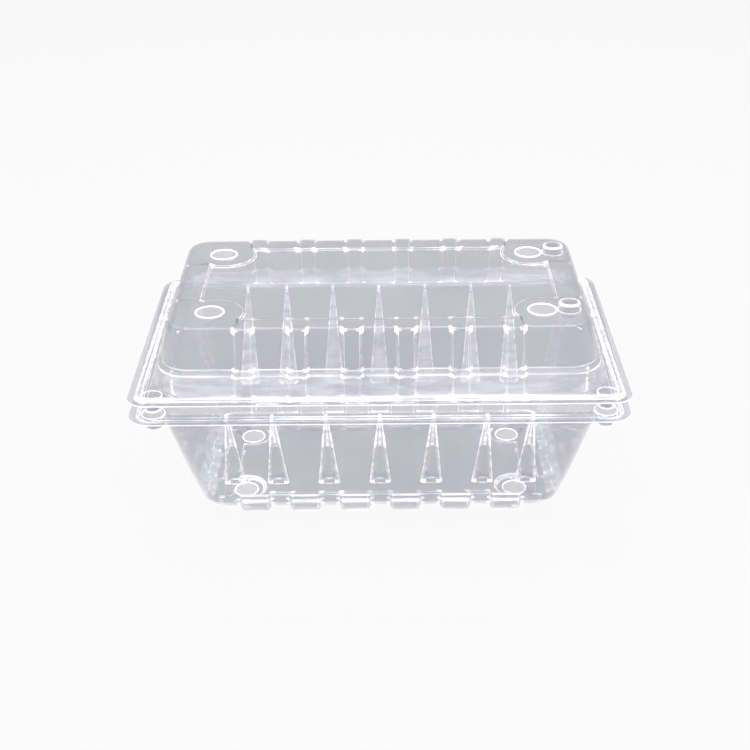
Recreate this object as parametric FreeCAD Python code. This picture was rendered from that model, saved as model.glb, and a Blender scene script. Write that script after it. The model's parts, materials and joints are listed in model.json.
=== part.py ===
"""Clear thermoformed clamshell pack: tray, living hinge and lid.

Frame: millimetres, +Z up, +X along the long side, front at -Y, hinge at +Y.
The origin is the middle of the footprint, on the plane that the feet stand on.
Both shells are modelled about the middle of the tray's flange, with the flange's
top face at z = 0, and set down on their feet at the end.
"""
import FreeCAD, Part
import math
import os

Vector = FreeCAD.Vector

# Sheet
wall = 0.45                 # thickness of the formed sheet

# Flanges, the same outline on both shells
flange_length = 200.0
flange_depth = 126.8
flange_corner = 8.5
flange_gap = 0.5            # between the two flanges when the lid is pressed shut

margin = 1.0                # how far a cutting form runs past the sheet
sunk_share = 0.1            # how far the ends of a foot or a pad run into the wall, as a share
pad_root = 0.1              # and their upper and inner edges
tiny = 1e-9

# Tray
tray_depth = 60.5           # flange down to the underside of the floor
mouth_length = 177.0
mouth_depth = 112.0
mouth_corner = 8.0
floor_length = 140.0
floor_depth = 67.0
floor_corner = 8.0
waist_height = 17.5         # the flutes end this far above the floor
waist_length = 162.0
waist_depth = 83.4
waist_corner = 12.0
heel_height = 3.5           # the wall turns in to the floor below this
heel_length = 152.5
heel_depth = 74.0

# Pattern shared by the ribs, the flutes and the feet of the long sides
pitch = 21.45
pitch_count = 6

# Flutes: grooves between the columns of the tray's long walls
flute_width = 7.4
flute_depth = 2.4
flute_top = 1.6             # below the flange
flute_tip = 0.55            # radius where a flute fades out at its top
flute_edge_shift = 3.35     # the outermost flutes stand this much nearer than a full pitch

# Feet of the long sides
foot_drop = 1.2             # feet stand this far below the floor
foot_length = 14.2
foot_edge = 1.85            # a foot slopes back to the wall over this length at both ends
foot_height = 8.7           # above the floor's underside
foot_slope = 2.0            # height of the slope at the top of a foot
foot_proud = 1.9
foot_proud_low = 1.6        # at the lower edge of a foot's face
foot_sole = 5.9             # depth of the flat that the pack stands on
foot_sole_shift = 0.6       # the sole starts this far outside the middle of the heel's slope

# Pads of the ends, which stop above the plane of the feet
end_pad_count = 3
end_pad_pitch = 20.0
end_pad_length = 13.5
end_pad_edge = 2.0
end_pad_height = 10.0
end_pad_slope = 1.9
end_pad_proud = 2.1
end_pad_drop = 0.5

# Floor panel and its vents
floor_panel_length = 124.0
floor_panel_depth = 51.0
floor_panel_rise = 1.2
floor_vent_x = 58.8
floor_vent_y = 21.4
floor_vent_radius = 5.0
floor_vent_clear = 3.4      # from a vent's edge to the panel's hollow corner

# Lid
lid_height = 26.0           # flange to the top
lid_foot_length = 183.0
lid_foot_depth = 113.6
lid_foot_corner = 18.0
lid_step_height = 8.5       # height of the step above the flange
lid_step_rise = 1.0
lid_step_length = 179.0
lid_step_depth = 108.0
lid_step_corner = 14.0
lid_step_width = 1.8
lid_top_length = 168.0
lid_top_depth = 93.6
lid_top_corner = 9.0
lid_shoulder = 1.5          # rounds the top's edge, as a chamfer

# Ribs of the lid's long walls
rib_width = 7.2
rib_proud = 1.4

# Lid panel, vents and lugs
lid_panel_length = 145.0
lid_panel_depth = 73.2
lid_panel_sink = 1.2
lid_vent_x = 67.0
lid_vent_y = 30.6
lid_vent_radius = 5.6
lid_vent_clear = 7.6
lug_radius = 4.8
lug_gap = 0.4               # between a vent and its lug
lug_x = lid_vent_x + lid_vent_radius + lug_gap + lug_radius
lug_height = 3.2
lug_draft = 0.5

# Bead round each flange
bead_inset = 2.7            # from the flange's edge
bead_width = 3.4
bead_height = 1.6
bead_draft = 0.6
bead_dip = 0.8              # depth of the flat pockets in the bead
end_pocket_length = 37.0
front_pocket_length = 29.0
front_pocket_x = 30.5

# Snap buttons at the two front corners
button_inset_x = 9.8        # from the flange's end
button_inset_y = 9.0        # from the flange's front edge
button_x = flange_length / 2 - button_inset_x
button_y = flange_depth / 2 - button_inset_y
button_radius = 4.2
button_draft = 0.9
button_length = 6.0         # below the lid's flange
button_clear = 0.6
button_seat = 0.8           # left under the button when it is home

# Hinge
hinge_reach = 1.5           # from the flange's edge back to the hinge line
hinge_clear = 0.35          # between the fold's free edge and the lid's flange
hinge_length = 176.0
lid_angle = 3.4             # how far the lid stands open as it rests on its buttons


def outline(half_x, half_y, corner, z):
    """A rectangle with round corners, as one closed wire at height z."""

    def side(x1, y1, x2, y2):
        return Part.LineSegment(Vector(x1, y1, z), Vector(x2, y2, z)).toShape()

    def turn(x1, y1, x2, y2, x3, y3):
        return Part.Arc(Vector(x1, y1, z), Vector(x2, y2, z), Vector(x3, y3, z)).toShape()

    x, y, c = half_x, half_y, corner
    b = corner * (1.0 - math.sqrt(0.5))
    edges = [
        side(-x + c, -y, x - c, -y),
        turn(x - c, -y, x - b, -y + b, x, -y + c),
        side(x, -y + c, x, y - c),
        turn(x, y - c, x - b, y - b, x - c, y),
        side(x - c, y, -x + c, y),
        turn(-x + c, y, -x + b, y - b, -x, y - c),
        side(-x, y - c, -x, -y + c),
        turn(-x, -y + c, -x + b, -y + b, -x + c, -y),
    ]
    return Part.Wire(edges)


def tapered(levels, inset=0.0, lifts=None):
    """A solid through round-cornered outlines, given as (z, length, depth, corner)."""
    lifts = lifts or [0.0] * len(levels)
    wires = []
    for (z, length, depth, corner), lift in zip(levels, lifts):
        wires.append(outline(length / 2 - inset, depth / 2 - inset, corner - inset, z + lift))
    return Part.makeLoft(wires, True, True)


def stepped_block(middle, half, edge, base, out, inset, along_x):
    """A block on a wall: its section is base plus out, and it slopes back to base at both ends.

    base and out are lists of (distance out, height). The section runs along X or along Y.
    """
    wires = []
    root_out = min(point[0] for point in base) - inset
    root_high = max(point[1] for point in base)
    for at, share in ((-half, -sunk_share), (edge - half, 1.0), (half - edge, 1.0), (half, -sunk_share)):
        section = [(b[0] + share * o[0], b[1] + share * o[1]) for b, o in zip(base, out)]
        section.append((root_out, root_high))
        if along_x:
            points = [Vector(middle + at, -distance, z) for distance, z in section]
        else:
            points = [Vector(distance, middle + at, z) for distance, z in section]
        wires.append(Part.makePolygon(points + points[:1]))
    return Part.makeLoft(wires, True, True)


def box(low, high):
    """A box between two corners."""
    size = [high[i] - low[i] for i in range(3)]
    return Part.makeBox(size[0], size[1], size[2], Vector(*low))


def disc(x, y, radius, low, high):
    """An upright cylinder from low to high."""
    return Part.makeCylinder(radius, high - low, Vector(x, y, low))


def cup(x, y, mouth_radius, tip_radius, mouth_z, tip_z):
    """An upright cone, wide at mouth_z and narrow at tip_z."""
    down = Vector(0, 0, 1 if tip_z > mouth_z else -1)
    return Part.makeCone(mouth_radius, tip_radius, abs(tip_z - mouth_z), Vector(x, y, mouth_z), down)


def joined(shapes):
    """All shapes as one."""
    first = shapes[0]
    return first.fuse(shapes[1:]) if len(shapes) > 1 else first


def mirrored_y(shape):
    """The same shape on the other long side."""
    return shape.mirror(Vector(0, 0, 0), Vector(0, 1, 0))


def mirrored_x(shape):
    """The same shape at the other end."""
    return shape.mirror(Vector(0, 0, 0), Vector(1, 0, 0))


def four_corners(shape):
    """The same shape at all four corners, as one."""
    pair = [shape, mirrored_x(shape)]
    return joined(pair + [mirrored_y(one) for one in pair])


def rib_places():
    """Middles of the columns, ribs and feet along a long side."""
    return [(i - (pitch_count - 1) / 2) * pitch for i in range(pitch_count)]


def wall_place(levels, z, side):
    """How far out a wall stands at height z: side 1 for the ends, 2 for the long walls."""
    for upper, lower in zip(levels, levels[1:]):
        top, bottom = max(upper[0], lower[0]), min(upper[0], lower[0])
        if bottom - tiny <= z <= top + tiny:
            share = (z - upper[0]) / (lower[0] - upper[0])
            return (upper[side] + share * (lower[side] - upper[side])) / 2
    raise ValueError("no wall at this height")


def ring_bead(outward, inset):
    """The bead's form round the flange: outward is 1 for up and -1 for down."""
    base_length = flange_length - 2 * bead_inset
    base_depth = flange_depth - 2 * bead_inset
    corner = flange_corner - bead_inset
    high = outward * (bead_height - inset)
    outer = tapered([
        (0.0, base_length - 2 * inset, base_depth - 2 * inset, corner - inset),
        (high, base_length - 2 * (inset + bead_draft), base_depth - 2 * (inset + bead_draft),
         corner - inset - bead_draft),
    ])
    inner_width = bead_width - inset
    inner = tapered([
        (0.0, base_length - 2 * inner_width, base_depth - 2 * inner_width, corner - bead_inset),
        (high, base_length - 2 * (inner_width - bead_draft), base_depth - 2 * (inner_width - bead_draft),
         corner - bead_inset),
    ])
    return outer.cut(inner)


def pocket_boxes(outward, inset, with_front):
    """Stretches where the bead dips to a flat: both ends, and two at the front of the tray."""
    dip_at = outward * (bead_height - bead_dip - inset)
    far = outward * (bead_height + margin)
    low_z, high_z = min(dip_at, far), max(dip_at, far)
    half = end_pocket_length / 2 - inset
    right = box((flange_length / 2 - bead_inset - bead_width, -half, low_z), (flange_length / 2, half, high_z))
    boxes = [right, mirrored_x(right)]
    if with_front:
        half = front_pocket_length / 2 - inset
        right = box((front_pocket_x - half, -flange_depth / 2, low_z),
                    (front_pocket_x + half, -flange_depth / 2 + bead_inset + bead_width, high_z))
        boxes += [right, mirrored_x(right)]
    return boxes


def beaded_flange(outward, with_front):
    """The flat flange with its hollow bead: the sheet lies below z = 0 on the tray, above it on the lid."""
    plate = tapered([(0.0, flange_length, flange_depth, flange_corner),
                     (outward * wall, flange_length, flange_depth, flange_corner)])
    outer = ring_bead(outward, 0.0).cut(joined(pocket_boxes(outward, 0.0, with_front)))
    inner = ring_bead(outward, wall).cut(joined(pocket_boxes(outward, wall, with_front)))
    return plate.fuse(outer).cut(inner)


def hollow_corner_panel(length, depth, low, high, vent_x, vent_y, clear_radius, inset):
    """A flat panel whose four corners are cut back in an arc round the vents."""
    panel = box((-length / 2 + inset, -depth / 2 + inset, low), (length / 2 - inset, depth / 2 - inset, high))
    hollow = disc(vent_x, vent_y, clear_radius + inset, low - margin, high + margin)
    beyond = box((vent_x, vent_y, low - margin),
                 (vent_x + clear_radius, vent_y + clear_radius, high + margin))
    return panel.cut(four_corners(hollow.fuse(beyond)))


def tray_levels():
    """The tray's walls from the mouth down to the floor."""
    return [
        (0.0, mouth_length, mouth_depth, mouth_corner),
        (waist_height - tray_depth, waist_length, waist_depth, waist_corner),
        (heel_height - tray_depth, heel_length, heel_depth, waist_corner),
        (-tray_depth, floor_length, floor_depth, floor_corner),
    ]


def flute(x, grow):
    """One groove in the front wall: a cone that leans with the wall and fades out at its top."""
    levels = tray_levels()
    top = -flute_top
    bottom = waist_height - tray_depth
    radius = (flute_width ** 2 / 4 + flute_depth ** 2) / (2 * flute_depth)
    tip = Vector(x, -wall_place(levels, top, 2) - flute_tip / 2, top)
    root = Vector(x, -wall_place(levels, bottom, 2) - (radius - flute_depth), bottom)
    axis = root - tip
    length = axis.Length
    axis.normalize()
    widening = (radius - flute_tip) / length
    start = tip - axis * grow
    return Part.makeCone(flute_tip + grow - widening * grow, radius + grow + widening * grow,
                         length + 2 * grow, start, axis)


def tray_flutes(grow):
    """All the grooves of both long walls: between the columns, and outside the last ones."""
    places = [(i - (pitch_count - 2) / 2) * pitch for i in range(pitch_count - 1)]
    edge = pitch_count / 2 * pitch - flute_edge_shift
    places = [-edge] + places + [edge]
    front = [flute(x, grow) for x in places]
    return joined(front + [mirrored_y(shape) for shape in front])


def pad_section(side, height, slope, inset):
    """The line of the bare wall under a foot or a pad, from its top down to the floor."""
    levels = tray_levels()
    high = height - tray_depth
    heel = heel_height - tray_depth
    heel_out = wall_place(levels, heel, side)
    floor_out = wall_place(levels, -tray_depth, side)
    return [
        (wall_place(levels, high, side) - inset - pad_root, high),
        (wall_place(levels, high - slope, side) - inset, high - slope),
        (heel_out - inset, heel),
        ((heel_out + floor_out) / 2 - inset, (heel - tray_depth) / 2 + inset),
        (floor_out - inset / 2, inset - tray_depth),
        (floor_out - slope, inset - tray_depth + pad_root),
    ]


def foot(x, inset):
    """One foot under the front wall, sloped back on all sides."""
    base = pad_section(2, foot_height, foot_slope, inset)
    heel_out, floor_out = base[2][0], base[4][0]
    sole = inset - tray_depth - foot_drop
    front = (heel_out + floor_out) / 2 + foot_sole_shift
    back = front - foot_sole + inset + inset / 2
    full = [
        base[0],
        (base[1][0] + foot_proud, base[1][1]),
        (heel_out + foot_proud_low, base[2][1] - foot_drop),
        (front, sole),
        (back, sole),
        (back - foot_drop / 2, inset - tray_depth + pad_root),
    ]
    base[4] = (back, base[4][1])
    base[5] = full[5]
    out = [(f[0] - b[0], f[1] - b[1]) for f, b in zip(full, base)]
    return stepped_block(x, foot_length / 2 - inset, foot_edge, base, out, foot_sole, True)


def end_pad(y, inset):
    """One pad low on the right-hand end wall; it stops above the plane of the feet."""
    base = pad_section(1, end_pad_height, end_pad_slope, inset)
    low = inset - tray_depth - end_pad_drop
    out = [
        (0.0, 0.0),
        (end_pad_proud, 0.0),
        (end_pad_proud, -end_pad_drop),
        (end_pad_proud + end_pad_drop, low + end_pad_drop - base[3][1]),
        (end_pad_edge, low - base[4][1]),
        (0.0, 0.0),
    ]
    return stepped_block(y, end_pad_length / 2 - inset, end_pad_edge, base, out, end_pad_edge, False)


def tray_pads(inset):
    """Feet of both long sides and pads of both ends."""
    front = [foot(x, inset) for x in rib_places()]
    ends = [end_pad((i - (end_pad_count - 1) / 2) * end_pad_pitch, inset) for i in range(end_pad_count)]
    both_sides = front + [mirrored_y(shape) for shape in front]
    both_ends = ends + [mirrored_x(shape) for shape in ends]
    return joined(both_sides + both_ends)


def socket_cups(grow):
    """Cups under the tray's flange that take the lid's buttons."""
    depth = button_length - flange_gap + button_seat
    mouth = button_radius + button_clear + grow
    tip = mouth - button_draft * depth / button_length
    right = cup(button_x, -button_y, mouth, tip, 0.0, -depth - grow)
    return joined([right, mirrored_x(right)])


def make_tray():
    """The lower shell, flange top at z = 0."""
    outer = tapered(tray_levels()).cut(tray_flutes(0.0)).fuse(tray_pads(0.0))
    inner = tapered(tray_levels(), wall, [0.0, 0.0, wall / 2, wall])
    inner = inner.cut(tray_flutes(wall)).fuse(tray_pads(wall))
    floor = -tray_depth
    panel = [floor_panel_length, floor_panel_depth]
    clear = floor_vent_radius + floor_vent_clear
    under = hollow_corner_panel(*panel, floor - margin, floor + floor_panel_rise,
                                floor_vent_x, floor_vent_y, clear, wall)
    over = hollow_corner_panel(*panel, floor, floor + floor_panel_rise + wall,
                               floor_vent_x, floor_vent_y, clear, 0.0)
    shell = beaded_flange(-1, True).fuse(outer).fuse(socket_cups(wall))
    shell = shell.cut(inner.cut(over)).cut(under).cut(socket_cups(0.0))
    vent = disc(floor_vent_x, floor_vent_y, floor_vent_radius, floor - margin, floor + margin)
    return shell.cut(four_corners(vent)).removeSplitter()


def lid_levels():
    """The lid's walls from its flange up to the top."""
    step_top = lid_step_height + lid_step_rise
    return [
        (0.0, lid_foot_length, lid_foot_depth, lid_foot_corner),
        (lid_step_height, lid_step_length, lid_step_depth, lid_step_corner),
        (step_top, lid_step_length - 2 * lid_step_width, lid_step_depth - 4 * lid_step_width,
         lid_step_corner - lid_step_width),
        (lid_height - lid_shoulder, lid_top_length + lid_shoulder, lid_top_depth + lid_shoulder,
         lid_top_corner + lid_shoulder / 2),
        (lid_height, lid_top_length - lid_shoulder, lid_top_depth - lid_shoulder,
         lid_top_corner - lid_shoulder / 2),
    ]


def lid_ribs(inset):
    """Pilasters of the lid's front and rear walls, from the flange to the top."""
    levels = lid_levels()
    ribs = []
    for x in rib_places():
        profile = []
        for z, length, depth, corner in levels[:-1]:
            profile.append(Vector(x - rib_width / 2 + inset, -depth / 2 - rib_proud + inset, z))
        profile[0] = profile[0] + Vector(0, rib_proud, 0)
        top_y = -levels[-1][2] / 2 - rib_proud + inset
        profile.append(Vector(x - rib_width / 2 + inset, top_y, lid_height - inset))
        deep = -levels[-1][2] / 2 + rib_width
        profile.append(Vector(x - rib_width / 2 + inset, deep, lid_height - inset))
        profile.append(Vector(x - rib_width / 2 + inset, deep, 0.0))
        face = Part.Face(Part.makePolygon(profile + profile[:1]))
        ribs.append(face.extrude(Vector(rib_width - 2 * inset, 0, 0)))
    return joined(ribs + [mirrored_y(shape) for shape in ribs])


def lid_lugs(inset):
    """Round stacking lugs beside the two right-hand vents."""
    lugs = []
    for sign_y in (-1, 1):
        lugs.append(cup(lug_x, sign_y * lid_vent_y, lug_radius - inset, lug_radius - lug_draft - inset,
                        lid_height - margin, lid_height + lug_height - inset))
    return joined(lugs)


def make_lid():
    """The upper shell, flange underside at z = 0 and pressed shut."""
    outer = tapered(lid_levels()).fuse(lid_ribs(0.0)).fuse(lid_lugs(0.0))
    inner = tapered(lid_levels(), wall, [-wall] * 5).fuse(lid_ribs(wall)).fuse(lid_lugs(wall))
    panel = [lid_panel_length, lid_panel_depth]
    clear = lid_vent_radius + lid_vent_clear
    over = hollow_corner_panel(*panel, lid_height - lid_panel_sink, lid_height + margin,
                               lid_vent_x, lid_vent_y, clear, wall)
    under = hollow_corner_panel(*panel, lid_height - lid_panel_sink - wall, lid_height + margin,
                                lid_vent_x, lid_vent_y, clear, 0.0)
    shell = beaded_flange(1, False).fuse(outer)
    shell = shell.cut(inner.cut(under)).cut(over)
    mouth = [lid_foot_length - 2 * wall, lid_foot_depth - 2 * wall, lid_foot_corner - wall]
    vent = disc(lid_vent_x, lid_vent_y, lid_vent_radius, lid_height - margin, lid_height + margin)
    shell = shell.cut(tapered([(-margin, *mouth), (wall, *mouth)])).cut(four_corners(vent))
    for x in (-button_x, button_x):
        collar = disc(x, -button_y, button_radius, -wall, bead_height)
        stud = cup(x, -button_y, button_radius, button_radius - button_draft, -wall, -button_length)
        well = disc(x, -button_y, button_radius - wall, -wall, bead_height)
        hollow = cup(x, -button_y, button_radius - wall, button_radius - button_draft - wall,
                     -wall, wall - button_length)
        shell = shell.fuse(collar.fuse(stud)).cut(well.fuse(hollow))
    return shell.removeSplitter()


def make_hinge():
    """The fold: it leaves the tray's flange, turns round the hinge line and ends just short of the lid."""
    line_y = flange_depth / 2 + hinge_reach
    middle_z = flange_gap / 2
    inside = flange_gap / 2
    outside = flange_gap / 2 + wall
    lid_side = flange_depth / 2 + hinge_clear

    def side(y1, z1, y2, z2):
        return Part.LineSegment(Vector(0, y1, middle_z + z1), Vector(0, y2, middle_z + z2)).toShape()

    def turn(radius, first, last):
        points = []
        for angle in (first, (first + last) / 2, last):
            bend = math.radians(angle)
            points.append(Vector(0, line_y + radius * math.cos(bend), middle_z + radius * math.sin(bend)))
        return Part.Arc(*points).toShape()

    edges = [
        side(flange_depth / 2, -outside, line_y, -outside),
        turn(outside, -90, 90),
        side(line_y, outside, lid_side, outside),
        side(lid_side, outside, lid_side, inside),
        side(lid_side, inside, line_y, inside),
        turn(inside, 90, -90),
        side(line_y, -inside, flange_depth / 2, -inside),
        side(flange_depth / 2, -inside, flange_depth / 2, -outside),
    ]
    fold = Part.Face(Part.Wire(edges)).extrude(Vector(hinge_length, 0, 0))
    fold.translate(Vector(-hinge_length / 2, 0, 0))
    return fold


def main():
    """Build the three nodes, stand the lid on its buttons and write the files."""
    os.makedirs("parts", exist_ok=True)
    hinge = make_hinge()
    line_y = flange_depth / 2 + hinge_reach
    rear = hinge.BoundBox.YMax
    settle = Vector(0, (flange_depth / 2 - rear) / 2, tray_depth + foot_drop)
    tray = make_tray()
    lid = make_lid()
    lid.translate(Vector(0, 0, flange_gap))
    lid.rotate(Vector(0, line_y, flange_gap / 2), Vector(1, 0, 0), -lid_angle)
    for name, shape in (("base_tray", tray), ("living_hinge", hinge), ("lid", lid)):
        shape = shape.Solids[0]
        shape.translate(settle)
        shape.exportStep("parts/" + name + ".step")
        bounds = shape.BoundBox
        print(name, shape.ShapeType, "solids", len(shape.Solids), "valid", shape.isValid(),
              "volume", round(shape.Volume, 1), "faces", len(shape.Faces),
              "x", round(bounds.XMin, 2), round(bounds.XMax, 2), "y", round(bounds.YMin, 2),
              round(bounds.YMax, 2), "z", round(bounds.ZMin, 2), round(bounds.ZMax, 2))
    print("hinge line y", round(line_y + settle.y, 3), "z", round(flange_gap / 2 + settle.z, 3))


main()
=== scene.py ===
# %% [markdown]
# A clear food pack, formed from one thin plastic sheet: a fluted tray, a ribbed lid and the fold that
# joins them. The CAD model gives the frame. Here each shell is modelled again as the real one is made,
# because its looks come from rounded bends, and the CAD solids have sharp ones. We start by loading that
# frame.

# %% Load the frame
import json
import math
import bpy
import numpy as np
from mathutils import Matrix, Vector, kdtree


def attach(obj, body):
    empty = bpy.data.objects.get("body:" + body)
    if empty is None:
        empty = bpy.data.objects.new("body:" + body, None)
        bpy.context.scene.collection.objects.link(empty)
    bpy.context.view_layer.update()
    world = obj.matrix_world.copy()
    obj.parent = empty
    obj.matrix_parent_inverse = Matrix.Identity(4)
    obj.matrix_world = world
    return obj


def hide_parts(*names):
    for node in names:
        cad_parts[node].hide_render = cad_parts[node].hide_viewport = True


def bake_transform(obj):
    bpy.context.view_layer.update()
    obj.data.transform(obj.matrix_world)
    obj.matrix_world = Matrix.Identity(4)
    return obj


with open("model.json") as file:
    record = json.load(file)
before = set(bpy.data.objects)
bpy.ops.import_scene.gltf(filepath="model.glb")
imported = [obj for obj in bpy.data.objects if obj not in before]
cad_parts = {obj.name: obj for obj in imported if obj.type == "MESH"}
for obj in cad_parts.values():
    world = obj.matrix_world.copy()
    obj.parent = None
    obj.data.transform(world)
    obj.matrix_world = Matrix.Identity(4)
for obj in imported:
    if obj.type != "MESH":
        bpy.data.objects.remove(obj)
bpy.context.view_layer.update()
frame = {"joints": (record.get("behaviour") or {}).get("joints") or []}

# %% [markdown]
# All sizes are the ones the real sheet has, in millimetres, and mm turns them into Blender's metres. Both
# shells are described about the middle of the tray's flange, with the flange's top at zero. The joint
# tells us where the hinge line is, so it also tells where that middle lies in the frame.

# %% Sizes that both shells share
mm = 0.001
wall = 0.45
flange = (100.0, 63.4, 8.5)
flange_gap = 0.5
hinge_reach = 1.5
lid_angle = math.radians(3.4)
pitch = 21.45
lid_joint = next(joint for joint in frame["joints"] if joint["name"] == "lid_hinge")
hinge_line = Vector(lid_joint["pos_m"])
middle = hinge_line / mm - Vector((0.0, flange[1] + hinge_reach, flange_gap / 2))
print("middle of the tray's flange, mm:", tuple(round(v, 2) for v in middle))

tray_place = Matrix.Scale(mm, 4) @ Matrix.Translation(middle)
turn = Matrix.Rotation(-lid_angle, 4, "X")
to_line = Matrix.Translation(Vector((0.0, flange[1] + hinge_reach, flange_gap / 2)))
lid_place = tray_place @ to_line @ turn @ to_line.inverted() @ Matrix.Translation((0.0, 0.0, flange_gap))

# %% [markdown]
# Clear sheet looks grey where it is flat and white where it bends, because a bend throws light from all
# sides towards the eye. That light is painted here: a face attribute called bend, measured from the
# finished mesh, takes the surface from a thin grey veil to a painted white highlight line. Fine noise,
# stretched into streaks, breaks up that painted highlight. A translucent shader adds a painted glow at
# the bends, with the light from behind, so that a bend can shine brighter than white.
# The Layer Weight node adds the gloss of the smooth sheet, more of it where we look along the surface.
#
# Rays that carry light to a surface pass most of the veil. A real sheet lets them through as well, and
# without this the inside of the pack would be too dark.

# %% Materials
flat_colour = (0.33, 0.33, 0.41, 1.0)
# Painted highlight: the white that a bend takes.
painted_highlight_colour = (0.95, 0.95, 0.96, 1.0)
# Painted glow: light from behind that a bend adds on top of its white highlight.
painted_glow_colour = (0.62, 0.62, 0.64, 1.0)
flat_cover = 0.27
# Painted highlight: how opaque the white of a bend is.
painted_highlight_cover = 0.8
cover_for_light = 0.25
gloss_face_on = 0.035
gloss_edge_on = 0.75
plastic_ior = 1.5


def node(tree, kind, **values):
    """A new shader node, with some of its own settings set by name."""
    made = tree.nodes.new(kind)
    for name, value in values.items():
        setattr(made, name, value)
    return made


def noise(tree, scale, detail=2.0):
    """A noise texture that still needs its place."""
    made = node(tree, "ShaderNodeTexNoise")
    made.inputs["Scale"].default_value = scale
    made.inputs["Detail"].default_value = detail
    return made


def ramp(tree, low, high, start=0.0, end=1.0):
    """Takes a value between start and end to one between low and high."""
    made = node(tree, "ShaderNodeMapRange")
    made.inputs["From Min"].default_value = start
    made.inputs["From Max"].default_value = end
    made.inputs["To Min"].default_value = low
    made.inputs["To Max"].default_value = high
    return made


def colour_mix(tree, first, second):
    """Takes a factor from 0 to 1 to a colour between two."""
    made = node(tree, "ShaderNodeMix", data_type="RGBA")
    made.inputs["A"].default_value = first
    made.inputs["B"].default_value = second
    return made


def clear_sheet(name):
    """Thin clear plastic: a veil on the flats, a painted white highlight and glow on the bends, gloss over
    both.
    """
    material = bpy.data.materials.new(name)
    material.use_nodes = True
    tree = material.node_tree
    tree.nodes.clear()
    link = tree.links.new
    place = node(tree, "ShaderNodeTexCoord").outputs["Object"]

    # How strongly the surface bends, which sets the painted highlight, broken up by streaks along the pack.
    measured = node(tree, "ShaderNodeAttribute", attribute_name="bend")
    streaks = node(tree, "ShaderNodeVectorMath", operation="MULTIPLY")
    streaks.inputs[1].default_value = (0.2, 1.0, 1.0)
    highlight_breakup = noise(tree, 320.0)
    broken = ramp(tree, 0.45, 1.0, start=0.36, end=0.6)
    bend = node(tree, "ShaderNodeMath", operation="MULTIPLY")
    link(place, streaks.inputs[0])
    link(streaks.outputs["Vector"], highlight_breakup.inputs["Vector"])
    link(highlight_breakup.outputs["Fac"], broken.inputs["Value"])
    link(measured.outputs["Fac"], bend.inputs[0])
    link(broken.outputs["Result"], bend.inputs[1])

    # How much the veil covers: more on painted-highlight bends, a little uneven, less for rays that carry
    # light.
    cover = ramp(tree, flat_cover, painted_highlight_cover)
    haze_and_sheen = noise(tree, 22.0, detail=3.0)
    drift = ramp(tree, 0.85, 1.12, start=0.35, end=0.65)
    cover_here = node(tree, "ShaderNodeMath", operation="MULTIPLY")
    rays = node(tree, "ShaderNodeLightPath")
    light_rays = node(tree, "ShaderNodeMath", operation="MAXIMUM")
    passing = ramp(tree, 1.0, cover_for_light)
    veil = node(tree, "ShaderNodeMath", operation="MULTIPLY")
    link(bend.outputs["Value"], cover.inputs["Value"])
    link(place, haze_and_sheen.inputs["Vector"])
    link(haze_and_sheen.outputs["Fac"], drift.inputs["Value"])
    link(cover.outputs["Result"], cover_here.inputs[0])
    link(drift.outputs["Result"], cover_here.inputs[1])
    link(rays.outputs["Is Shadow Ray"], light_rays.inputs[0])
    link(rays.outputs["Is Diffuse Ray"], light_rays.inputs[1])
    link(light_rays.outputs["Value"], passing.inputs["Value"])
    link(cover_here.outputs["Value"], veil.inputs[0])
    link(passing.outputs["Result"], veil.inputs[1])

    # Slow waves in the sheet, as a formed sheet has them.
    waves = noise(tree, 60.0)
    bump = node(tree, "ShaderNodeBump")
    bump.inputs["Strength"].default_value = 0.12
    bump.inputs["Distance"].default_value = 0.0006
    link(place, waves.inputs["Vector"])
    link(waves.outputs["Fac"], bump.inputs["Height"])

    # The veil with its painted white highlight, and a painted glow that a bend adds from light behind it.
    colour = colour_mix(tree, flat_colour, painted_highlight_colour)
    body = node(tree, "ShaderNodeBsdfPrincipled")
    body.inputs["Roughness"].default_value = 0.12
    body.inputs["IOR"].default_value = plastic_ior
    through = colour_mix(tree, (0.0, 0.0, 0.0, 1.0), painted_glow_colour)
    spread = node(tree, "ShaderNodeBsdfTranslucent")
    both_sides = node(tree, "ShaderNodeAddShader")
    link(bend.outputs["Value"], colour.inputs["Factor"])
    link(colour.outputs["Result"], body.inputs["Base Color"])
    link(veil.outputs["Value"], body.inputs["Alpha"])
    link(bump.outputs["Normal"], body.inputs["Normal"])
    link(bend.outputs["Value"], through.inputs["Factor"])
    link(through.outputs["Result"], spread.inputs["Color"])
    link(body.outputs["BSDF"], both_sides.inputs[0])
    link(spread.outputs["BSDF"], both_sides.inputs[1])

    # The gloss, weak face on and strong edge on.
    gloss = node(tree, "ShaderNodeBsdfGlossy")
    gloss.inputs["Roughness"].default_value = 0.06
    facing = node(tree, "ShaderNodeLayerWeight")
    facing.inputs["Blend"].default_value = 0.5
    steep = node(tree, "ShaderNodeMath", operation="POWER")
    steep.inputs[1].default_value = 4.0
    edge_on = ramp(tree, gloss_face_on, gloss_edge_on)
    mix = node(tree, "ShaderNodeMixShader")
    out = node(tree, "ShaderNodeOutputMaterial")
    link(bump.outputs["Normal"], gloss.inputs["Normal"])
    link(bump.outputs["Normal"], facing.inputs["Normal"])
    link(facing.outputs["Facing"], steep.inputs[0])
    link(steep.outputs["Value"], edge_on.inputs["Value"])
    link(edge_on.outputs["Result"], mix.inputs["Fac"])
    link(both_sides.outputs["Shader"], mix.inputs[1])
    link(gloss.outputs["BSDF"], mix.inputs[2])
    link(mix.outputs["Shader"], out.inputs["Surface"])
    return material


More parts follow.
